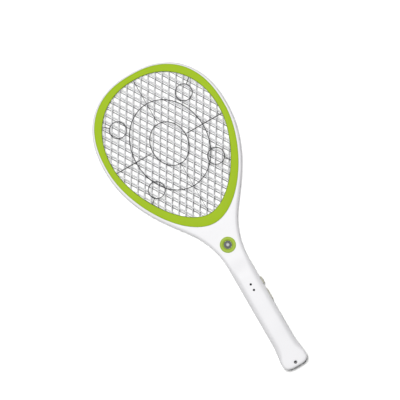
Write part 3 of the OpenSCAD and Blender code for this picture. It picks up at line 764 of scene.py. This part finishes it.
def make_front_shell():
    knob = (*columns(*KNOB_SLOT[:2]), 3)
    zap = (*columns(*ZAP_WINDOW[:2]), 4)
    slots = [(*slot_columns(side), 2) for side in (1, -1)]
    levels = [0, 0.3, BLADE_SLOT_TOP, KNOB_SLOT[2], ZAP_WINDOW[2]]
    bores = [((0, LAMP_Y), [(LAMP_HOLE_R, None), (LAMP_HOLE_R, None)])]
    for y in LED_YS:
        bores.append(((0, y), [(LED_HOLE_R + 0.3, None), (LED_HOLE_R, GRIP_FACE - 0.3), (LED_HOLE_R, None)]))
    bores.append(hang_bore(GRIP_FACE))
    bosses = [(spot, RIM_BOSS_R, RIM_PILOT_R, RIM_PILOT_TOP) for spot in rim_screw_spots()]
    for spot in GRIP_SCREWS:
        pilot_top = 8.0 if spot[1] > RAMP_START_Y - 20 else 9.5
        bosses.append((spot, GRIP_BOSS_R, GRIP_PILOT_R, pilot_top))
    shell = build_shell("front_casing", 1, front_face, grip_r=8.0, drop=1.25, levels=levels,
                        windows=[knob, zap, *slots], bores=bores, bosses=bosses)
    take(shell, "front_shell")


def make_rear_shell():
    slots = [(*slot_columns(side), 2) for side in (1, -1)]
    levels = [0, 0.3, BLADE_SLOT_BOTTOM]
    head_r = 2.8
    seat = REAR_FACE - 3
    collar_r = 3.2
    bores = [hang_bore(REAR_FACE)]
    for spot in GRIP_SCREWS:
        bores.append((spot, [(head_r + 0.2, None), (head_r, REAR_FACE - 0.2), (head_r, seat),
                             (GRIP_SCREW_HOLE_R, seat), (GRIP_SCREW_HOLE_R, 0),
                             (collar_r, 0), (collar_r, None)]))
    bosses = [(spot, RIM_BOSS_R, RIM_SCREW_HOLE_R, RIM_PILOT_TOP) for spot in rim_screw_spots()]
    shell = build_shell("rear_casing", -1, rear_face, grip_r=2.4, drop=1.0, levels=levels,
                        windows=slots, bores=bores, bosses=bosses, pocket=slider_pocket)
    take(shell, "rear_shell")


# ---------------------------------------------------------------- trim rings

def make_trim(name, node, outer_z, side, flange_t, pockets):
    """A trim ring; side is 1 in front and -1 behind, and pockets hold the rim screws' heads."""
    make = Mesher()
    foot = flange_t + 1
    flat, flat_depth = TRIM_ROUNDING[-1]
    pocket_r = 2.05
    pocket_depth = 1.2

    def height(depth):
        return outer_z - side * depth

    inner_rings = [make.ring(OPENING, height(flange_t))]
    inner_rings += [make.ring(grow(OPENING, inset), height(depth)) for inset, depth in TRIM_ROUNDING]
    outer_rings = [make.ring(grow(TRIM, -inset), height(depth)) for inset, depth in TRIM_ROUNDING[::-1]]
    outer_rings += [make.ring(TRIM, height(foot)),
                    make.ring(grow(OPENING, TRIM_FOOT_EDGE), height(foot)),
                    make.ring(grow(OPENING, TRIM_FOOT_EDGE), height(flange_t)), inner_rings[0]]
    make.chain(inner_rings)
    make.chain(outer_rings)
    if pockets:
        holes = []
        for spot in pockets:
            rings = [make.ring(circle(spot, pocket_r + 0.15, 32), height(flat_depth)),
                     make.ring(circle(spot, pocket_r, 32), height(flat_depth + 0.15)),
                     make.ring(circle(spot, pocket_r, 32), height(pocket_depth))]
            make.chain(rings)
            make.cap(rings[-1])
            holes.append(rings[0])
        make.fill(outer_rings[0], [inner_rings[-1], *holes], None)
    else:
        middle = make.ring((grow(OPENING, flat) + grow(TRIM, -flat)) / 2, height(0))
        make.chain([inner_rings[-1], middle, outer_rings[0]])
    take(make.build(name, LIME, 40), node)


# ---------------------------------------------------------------- meshes

def clip(outline, spot, half):
    """The part of a convex outline inside the diamond round a spot."""
    points = np.array(outline)
    for sx, sy in ((1, 1), (1, -1), (-1, -1), (-1, 1)):
        if not len(points):
            break
        over = ((points - spot) / half) @ [sx, sy] - 1
        kept = []
        for k in range(len(points)):
            m = (k + 1) % len(points)
            if over[k] <= 0:
                kept.append(points[k])
            if (over[k] <= 0) != (over[m] <= 0):
                share = over[k] / (over[k] - over[m])
                kept.append(points[k] + share * (points[m] - points[k]))
        points = np.array(kept)
    return points


def area_of(points):
    """Area inside an outline."""
    x, y = points.T
    return abs(np.dot(x, np.roll(y, -1)) - np.dot(y, np.roll(x, -1))) / 2


def lattice(name, node, material, wire, edges, centre, tab):
    """A sheet of bevelled wires in diamonds.

    edges are how far its holes and its solid border reach past the opening, centre is the middle of
    one hole, and tab is the low corner of its terminal.
    """
    make = Mesher()
    low, high = box_mm(node)
    low_z, high_z = low[2], high[2]
    step = MESH_PITCH / math.sin(2 * MESH_TURN)
    half = np.array([step * math.sin(MESH_TURN), step * math.cos(MESH_TURN)])
    limit = grow(opening_outline(24), edges[0] + wire / 2)
    border = grow(OPENING, edges[1])
    middle_z = (low_z + high_z) / 2
    levels = ((high_z, WIRE_FLAT), (middle_z, 1.0), (low_z, WIRE_FLAT))
    border_rings = [make.ring(border, z) for z in (high_z, low_z)]
    make.bridge(*border_rings)
    holes = ([], [])
    across = int((OPEN_HALF_W + abs(centre[0])) / half[0]) + 2
    up = int((OPEN_TOP_Y - OPEN_BOTTOM_Y) / half[1]) + 2
    for i in range(-across, across + 1):
        for j in range(-up, up + 1):
            if (i + j) % 2:
                continue
            spot = np.array([i, j]) * half + centre
            cell = clip(limit, spot, half)
            if len(cell) < 3 or area_of(cell) < SMALLEST_HOLE:
                continue
            middle = cell.mean(0)
            rings = []
            for z, share in levels:
                size = 1 - share * wire / MESH_PITCH
                rings.append(make.ring(middle + (cell - middle) * size, z))
            make.chain(rings)
            holes[0].append(rings[0])
            holes[1].append(rings[-1])
    for ring, inner in zip(border_rings, holes):
        make.fill(ring, inner, None)
    tab_half = (2.5, 4.5)
    prism(make, rounded_box_outline(*tab_half, 0.8), [(0, low_z), (0, high_z)], np.array(tab) + tab_half)
    take(make.build(name, material, 20), node)


def make_ribs():
    """The stiffening pattern on the front guard: two loops, spokes, four small circles and a thin ring
    inside the opening, drawn as near-black bars whose colour is painted shade.
    """
    make = Mesher()
    z = GUARD_HIGH[2] + 0.1
    small_r = 12.6

    def loop(xy, closed=True, thick=0.62):
        path = np.column_stack([xy, np.full(len(xy), z)])
        tube(make, path, thick, closed)

    def arc(centre, half_w, half_h, count=72):
        turn = np.linspace(0, 2 * math.pi, count, endpoint=False)
        return np.column_stack([centre[0] + half_w * np.cos(turn), centre[1] + half_h * np.sin(turn)])

    def edge_point(angle):
        """Where a ray from the pattern's centre meets the opening."""
        direction = np.array([math.sin(angle), math.cos(angle)])
        away = OPENING - [0, PATTERN_Y]
        lined = away @ direction / np.linalg.norm(away, axis=1)
        return OPENING[np.argmax(lined)]

    loop(arc((0, PATTERN_Y - 1), 27.8, 33.7))
    loop(arc((0, PATTERN_Y - 3), 57, 70, 110))
    for side in (1, -1):
        loop(np.array([(side * 30.5, PATTERN_Y - 0.5), (side * (OPEN_HALF_W + 1), PATTERN_Y - 0.5)]), False)
    loop(np.array([(0, PATTERN_Y + 35), (0, OPEN_TOP_Y + 1)]), False, 0.4)
    loop(np.array([(0, PATTERN_Y - 37), (0, OPEN_BOTTOM_Y - 1)]), False, 0.3)
    # A thin near-black ring just inside the opening: painted shadow of the gap under the trim ring's inner
    # edge.
    loop(grow(OPENING, -0.15), thick=0.28)
    for x, y in ((56.4, 54.4), (50.9, -51.2)):
        for side in (1, -1):
            spot = np.array([side * x, PATTERN_Y + y])
            loop(arc(spot, small_r, small_r, 40))
            edge = edge_point(math.atan2(side * x, y))
            toward = (edge - spot) / np.linalg.norm(edge - spot)
            loop(np.array([spot + toward * small_r, edge + toward]), False)
    piece = make.build("guard_ribs", RIB_PAINTED_SHADE, 60)
    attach(piece, "racket")


# ---------------------------------------------------------------- lamp and lights

def make_bezel(spot):
    """The lamp's ring: a skirt in the shell's hole, and a rim with rounded lips on the face."""
    face = LAMP_FACE_Z
    bore_r, skirt_r, rim_r = 6.1, 7.7, 12.0
    foot = 18.5
    make = Mesher()
    lathe(make, [(bore_r, foot), (skirt_r, foot), (skirt_r, face - 2), (rim_r - 0.15, face - 2),
                 (rim_r, face - 1.8), (rim_r, face - 0.9), (rim_r - 0.2, face - 0.4),
                 (rim_r - 0.7, face - 0.08), (rim_r - 1.4, face), (skirt_r + 0.5, face),
                 (skirt_r + 0.2, face - 0.08), (skirt_r, face - 0.3), (skirt_r - 0.15, face - 0.9),
                 (skirt_r - 0.4, face - 1.15), (bore_r + 0.4, face - 1.45), (bore_r + 0.1, face - 1.75),
                 (bore_r, face - 2.2)], spot, 96)
    take(make.build("lamp_bezel_ring", BEZEL, 50), "lamp_bezel")


def make_reflector(spot):
    """A thin bowl that opens towards the lens."""
    foot, depth = 16.3, 6.5
    foot_r, flare = 2.75, 2.6
    wall = 0.55
    make = Mesher()
    inner = [(foot_r + flare * t ** 0.55, foot + depth * t) for t in np.linspace(0, 1, 12)]
    outer = [(r + wall, z) for r, z in inner[::-1]]
    lathe(make, inner + outer, spot, 72)
    take(make.build("lamp_mirror", CHROME, 50), "lamp_reflector")


def make_lamp_led(spot):
    """A round LED with a foot flange and a domed end."""
    r, flange_r = 2.5, 2.9
    foot, flange_top, shoulder = 14.6, 15.6, 19.5
    make = Mesher()
    dome = [(r * math.cos(a), shoulder + r * math.sin(a)) for a in np.linspace(0, math.pi / 2, 9)]
    lathe(make, [(0, foot), (flange_r - 0.1, foot), (flange_r, foot + 0.2), (flange_r, flange_top - 0.1),
                 (r, flange_top), *dome[:-1], (0, shoulder + r)], spot, 48, closed=False)
    take(make.build("lamp_lamp", EMITTER, 50), "lamp_led")


def make_lens(spot):
    """A flat disc with a shallow domed face."""
    r, foot, rise = 5.9, 22.9, 0.5
    rim = foot + rise
    make = Mesher()
    dome = [(r * math.sin(a), rim + rise * math.cos(a)) for a in np.linspace(0, math.pi / 2, 8)]
    lathe(make, [(0, foot), (r, foot), *dome[:0:-1], (0, rim + rise)], spot, 72, closed=False)
    take(make.build("lamp_window", CLEAR, 40), "lamp_lens")


def make_indicator(name, node):
    """A small domed light on two legs."""
    low, high = box_mm(node)
    y = middle_y(node)
    base = 23.4
    rise = 1.4
    shoulder = high[2] - rise
    make = Mesher()
    dome = [(LED_R * math.cos(a), shoulder + rise * math.sin(a)) for a in np.linspace(0, math.pi / 2, 8)]
    lathe(make, [(0, base), (LED_R, base), *dome[:-1], (0, high[2])], (0, y), 32, closed=False)
    for side in (-1, 1):
        prism(make, rounded_box_outline(0.25, 0.25, 0.08, 2), [(0.05, low[2]), (0, low[2] + 0.1), (0, base)],
              (side * 0.9, y))
    take(make.build(name, DARK_LENS, 50), node)


# ---------------------------------------------------------------- controls

SIDEWAYS = Matrix(((0, 0, 1, 0), (1, 0, 0, 0), (0, 1, 0, 0), (0, 0, 0, 1)))


def make_knob():
    """The lamp switch's knob: ribbed cap, neck and inner flange, built along +X."""
    make = Mesher()
    centre = (KNOB_Y, CONTROL_Z)
    out = KNOB_HIGH[0]
    cap = rounded_box_outline(5.95, 3.6, 1.4)
    prism(make, cap, [(0.15, 17.45), (0, 17.6), (0, out - 1.5), (0.12, out - 1.05), (0.45, out - 0.75),
                      (0.9, out - 0.65)], centre)
    ridge = rounded_box_outline(0.38, 2.7, 0.36)
    for i in range(-3, 4):
        prism(make, ridge, [(0, out - 0.9), (0, out - 0.3), (0.1, out - 0.1), (0.22, out)],
              (KNOB_Y + 1.45 * i, CONTROL_Z))
    neck = rounded_box_outline(2.5, 2.8, 0.4)
    prism(make, neck, [(0, 14.6), (0, 17.5)], centre)
    flange = rounded_box_outline(7.5, 4.3, 0.8)
    prism(make, flange, [(0.2, KNOB_LOW[0]), (0, KNOB_LOW[0] + 0.2), (0, 14.5), (0.2, 14.7)], centre)
    take(make.build("lamp_knob", CONTROL, 35, SIDEWAYS), "lamp_switch_knob", body="lamp_knob")


def make_zap_button():
    """The zap button: long cap with a shallow dish, inner flange and stem, built along +X."""
    make = Mesher()
    centre = (ZAP_Y, CONTROL_Z)
    out = ZAP_OUT
    rings = []
    for inset, x in ((0.0, 14.6), (0, out - 0.75), (0.1, out - 0.35), (0.35, out - 0.08), (0.7, out),
                     (1.1, out - 0.02), (1.8, out - 0.22), (2.4, out - 0.3)):
        edge = rounded_box_outline(9.25 - inset, 3.5 - inset, max(1.5 - inset, 0.3), 8)
        rings.append(make.ring(edge + centre, x))
    make.chain(rings)
    make.cap(rings[0])
    make.cap(rings[-1])
    pip = rounded_box_outline(0.4, 0.9, 0.38)
    for i in range(-2, 3):
        prism(make, pip, [(0, out - 0.5), (0, out - 0.18), (0.12, out - 0.02)], (ZAP_Y + 2.1 * i, CONTROL_Z))
    flange = rounded_box_outline(11.25, 5.2, 0.8)
    prism(make, flange, [(0.2, 12.7), (0, 12.9), (0, 14.5), (0.2, 14.7)], centre)
    prism(make, circle((0, 0), 2.2, 32), [(0.2, 10.4), (0, 10.6), (0, 12.8)], (ZAP_Y, 16.0))
    take(make.build("zap_key_cap", CONTROL, 35, SIDEWAYS), "zap_button", body="zap_key")


# ---------------------------------------------------------------- plug and screws

def make_blades():
    """Two plug blades with rounded tips and a hole, built in the Y-Z plane."""
    low, high = box_mm("plug_blades")
    make = Mesher()
    middle_z = (low[2] + high[2]) / 2
    outline = rounded_box_outline((high[1] - low[1]) / 2, (high[2] - low[2]) / 2, 1.5)
    centre = np.array([middle_y("plug_blades"), middle_z])
    hole = circle((low[1] + 4.2, middle_z), 1.5, 28)
    t = BLADE_HALF_T
    for side in (-1, 1):
        x = side * BLADE_X
        rings = [make.ring(grow(outline, -inset) + centre, x + offset)
                 for inset, offset in ((0.3, -t), (0, -t + 0.25), (0, t - 0.25), (0.3, t))]
        holes = [make.ring(hole, x + offset) for offset in (-t, t)]
        make.chain(rings)
        make.bridge(holes[0], holes[1])
        make.fill(rings[0], [holes[0]], None)
        make.fill(rings[-1], [holes[1]], None)
    take(make.build("plug_pins", NICKEL, 35, SIDEWAYS), "plug_blades", body="plug")


def make_slider():
    """The plug's thumb slider: ridged pad, and the stem through the slot."""
    low, high = box_mm("plug_slider")
    make = Mesher()
    middle = (0, middle_y("plug_slider"))
    half_y = (high[1] - low[1]) / 2
    prism(make, rounded_box_outline(high[0], half_y, 1.3),
          [(0.25, 3.5), (0, 3.3), (0, 1.5), (0.12, 1.15), (0.4, 1.0)], middle)
    ridge = rounded_box_outline(high[0] - 0.9, 0.36, 0.34)
    for i in range(-2, 3):
        prism(make, ridge, [(0, 1.3), (0, 0.8), (0.1, 0.6), (0.2, 0.5)], (0, middle[1] + 1.4 * i))
    prism(make, rounded_box_outline(1.4, 2.0, 0.4), [(0, 3.4), (0, 6.5)], (0, STEM_Y))
    take(make.build("plug_thumb_pad", CONTROL, 35), "plug_slider", body="plug")


def cross_outline(arm, half_w):
    """A clockwise plus sign round the origin."""
    corner = [(half_w, arm), (half_w, half_w), (arm, half_w)]
    points = []
    for k in range(4):
        turn = -math.pi / 2 * k
        c, s = math.cos(turn), math.sin(turn)
        points += [(x * c - y * s, x * s + y * c) for x, y in corner]
    return np.array(points)


def make_screws(name, node, spots, head_r, head_z, head_h, shank_r, tip_z):
    """Cross-head screws whose heads face down."""
    make = Mesher()
    arm = head_r * 0.62
    thread = 0.9
    turns = int((tip_z - head_z - head_h) / thread)
    for spot in spots:
        cross = make.ring(cross_outline(arm, head_r * 0.14) + spot, head_z)
        floor = make.ring(cross_outline(arm * 0.6, head_r * 0.12) + spot, head_z + head_h * 0.6)
        make.bridge(cross, floor)
        make.cap(floor)
        rings = [make.ring(circle(spot, head_r - 0.35, 32), head_z),
                 make.ring(circle(spot, head_r - 0.08, 32), head_z + 0.12),
                 make.ring(circle(spot, head_r, 32), head_z + 0.4),
                 make.ring(circle(spot, head_r, 32), head_z + head_h),
                 make.ring(circle(spot, shank_r, 32), head_z + head_h)]
        for k in range(turns):
            z = head_z + head_h + thread * k
            rings += [make.ring(circle(spot, shank_r * 0.8, 32), z + 0.25),
                      make.ring(circle(spot, shank_r, 32), z + 0.6)]
        rings.append(make.ring(circle(spot, shank_r * 0.3, 32), tip_z))
        make.chain(rings)
        make.cap(rings[-1])
        make.fill(rings[0], [cross], None)
    take(make.build(name, SCREW, 35), node)


# ---------------------------------------------------------------- inner pieces

CAD_FINISH = {
    "front_spacer_ring": SPACER, "rear_spacer_ring": SPACER,
    "high_voltage_lead": WIRE_RED, "guard_lead": WIRE_BLACK, "guard_link_wire": WIRE_BLACK,
    "lamp_board": BOARD, "lamp_leads": WIRE_YELLOW,
    "lamp_switch_slider": BLACK, "lamp_switch_body": STEEL,
    "zap_switch_plunger": BLACK, "zap_switch_body": BLACK,
    "circuit_board": BOARD, "transformer_core": FERRITE, "transformer_winding": COPPER,
    "high_voltage_capacitor": FILM_RED, "dropper_capacitor": FILM_YELLOW,
    "drive_transistor": BLACK, "diodes": BLACK, "resistors": TAN,
    "battery": CASE_GREY, "battery_pad": FOAM, "battery_leads": WIRE_RED,
    "plug_carriage": BLACK, "charge_contacts": BRASS, "charge_leads": WIRE_BROWN,
}


def finish_cad_nodes():
    """Gives the CAD meshes that are shown as they are their materials."""
    for name, material in CAD_FINISH.items():
        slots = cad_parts[name].material_slots
        if not slots:
            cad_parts[name].data.materials.append(material)
        for entry in slots:
            entry.material = material


# ---------------------------------------------------------------- stage

def make_floor():
    """A pale floor just under the racket."""
    mesh = bpy.data.meshes.new("floor")
    half = 4.0
    corners = [(-half, -half, 0), (half, -half, 0), (half, half, 0), (-half, half, 0)]
    mesh.from_pydata(corners, [], [(0, 1, 2, 3)])
    floor = bpy.data.objects.new("floor", mesh)
    bpy.context.scene.collection.objects.link(floor)
    floor.location.z = -0.0002
    paper = surface("floor_paper", (0.96, 0.96, 0.955), 0.9, vary=0.004, grain=300, relief=0.02)
    mesh.materials.append(paper)


def make_lights():
    """One soft round light above the head, and a dim even world."""
    def area(name, place, target, size, power):
        light = bpy.data.lights.new(name, "AREA")
        light.shape = "DISK"
        light.size = size
        light.energy = power
        lamp = bpy.data.objects.new(name, light)
        lamp.location = place
        lamp.rotation_euler = (Vector(target) - Vector(place)).to_track_quat("-Z", "Y").to_euler()
        lamp.visible_camera = False
        bpy.context.scene.collection.objects.link(lamp)

    area("overhead", (-0.07, 0.28, 2.99), (0, 0, 0), size=0.68, power=110)
    world = bpy.data.worlds.new("studio")
    world.use_nodes = True
    background = world.node_tree.nodes["Background"]
    background.inputs["Color"].default_value = (1.0, 1.0, 1.0, 1)
    background.inputs["Strength"].default_value = 0.06
    bpy.context.scene.world = world


def make_camera():
    """Looks straight down at the racket, turned 30 degrees, from far off with a long lens."""
    view_width = 0.5935
    distance = 6.0
    middle = Vector((-0.0026, 0.0359, 0.024))
    turn = math.radians(30)
    sensor = 36.0
    data = bpy.data.cameras.new("camera")
    data.sensor_width = sensor
    data.lens = sensor * distance / view_width
    data.clip_end = 50
    camera = bpy.data.objects.new("camera", data)
    camera.location = middle + Vector((0, 0, distance))
    camera.rotation_euler = (0, 0, -turn)
    bpy.context.scene.collection.objects.link(camera)
    bpy.context.scene.camera = camera
    bpy.context.scene.view_settings.view_transform = "Standard"


make_camera()
make_lights()
make_floor()
make_front_shell()
make_rear_shell()
make_trim("front_trim", "front_trim_ring", TRIM_HIGH[2], 1, TRIM_FRONT_T, [])
make_trim("rear_trim", "rear_trim_ring", 0.0, -1, TRIM_REAR_T, rim_screw_spots())
lattice("front_guard", "front_guard_mesh", GUARD_METAL,
        wire=1.4, edges=(0.3, GUARD_EDGE), centre=(0.6, 130.6), tab=(3.5, 1))
# The rear guard's and live grid's holes are shifted against the front guard's so that their darkened wires
# lie just beside and below its bright wires, as painted shadows of them.
lattice("rear_guard", "rear_guard_mesh", REAR_GUARD_PAINTED_SHADE,
        wire=1.0, edges=(0.3, GUARD_EDGE), centre=(-5.4, 137.9), tab=(3.5, 1))
lattice("live_grid", "high_voltage_grid", GRID_PAINTED_SHADE,
        wire=1.15, edges=(0.9, 3.7), centre=(4.4, 136.9), tab=(-8.5, -1))
make_ribs()
for make_lamp_piece in (make_bezel, make_reflector, make_lamp_led, make_lens):
    make_lamp_piece((0, LAMP_Y))
make_indicator("charge_light", "charge_led")
make_indicator("ready_light", "ready_led")
make_knob()
make_zap_button()
make_blades()
make_slider()
make_screws("rim_screw_set", "rim_screws", rim_screw_spots(),
            head_r=1.9, head_z=0.1, head_h=1.1, shank_r=1.0, tip_z=17)
make_screws("handle_screw_set", "handle_screws", [np.array(spot, float) for spot in GRIP_SCREWS],
            head_r=2.6, head_z=1.1, head_h=1.9, shank_r=1.3, tip_z=21)
finish_cad_nodes()
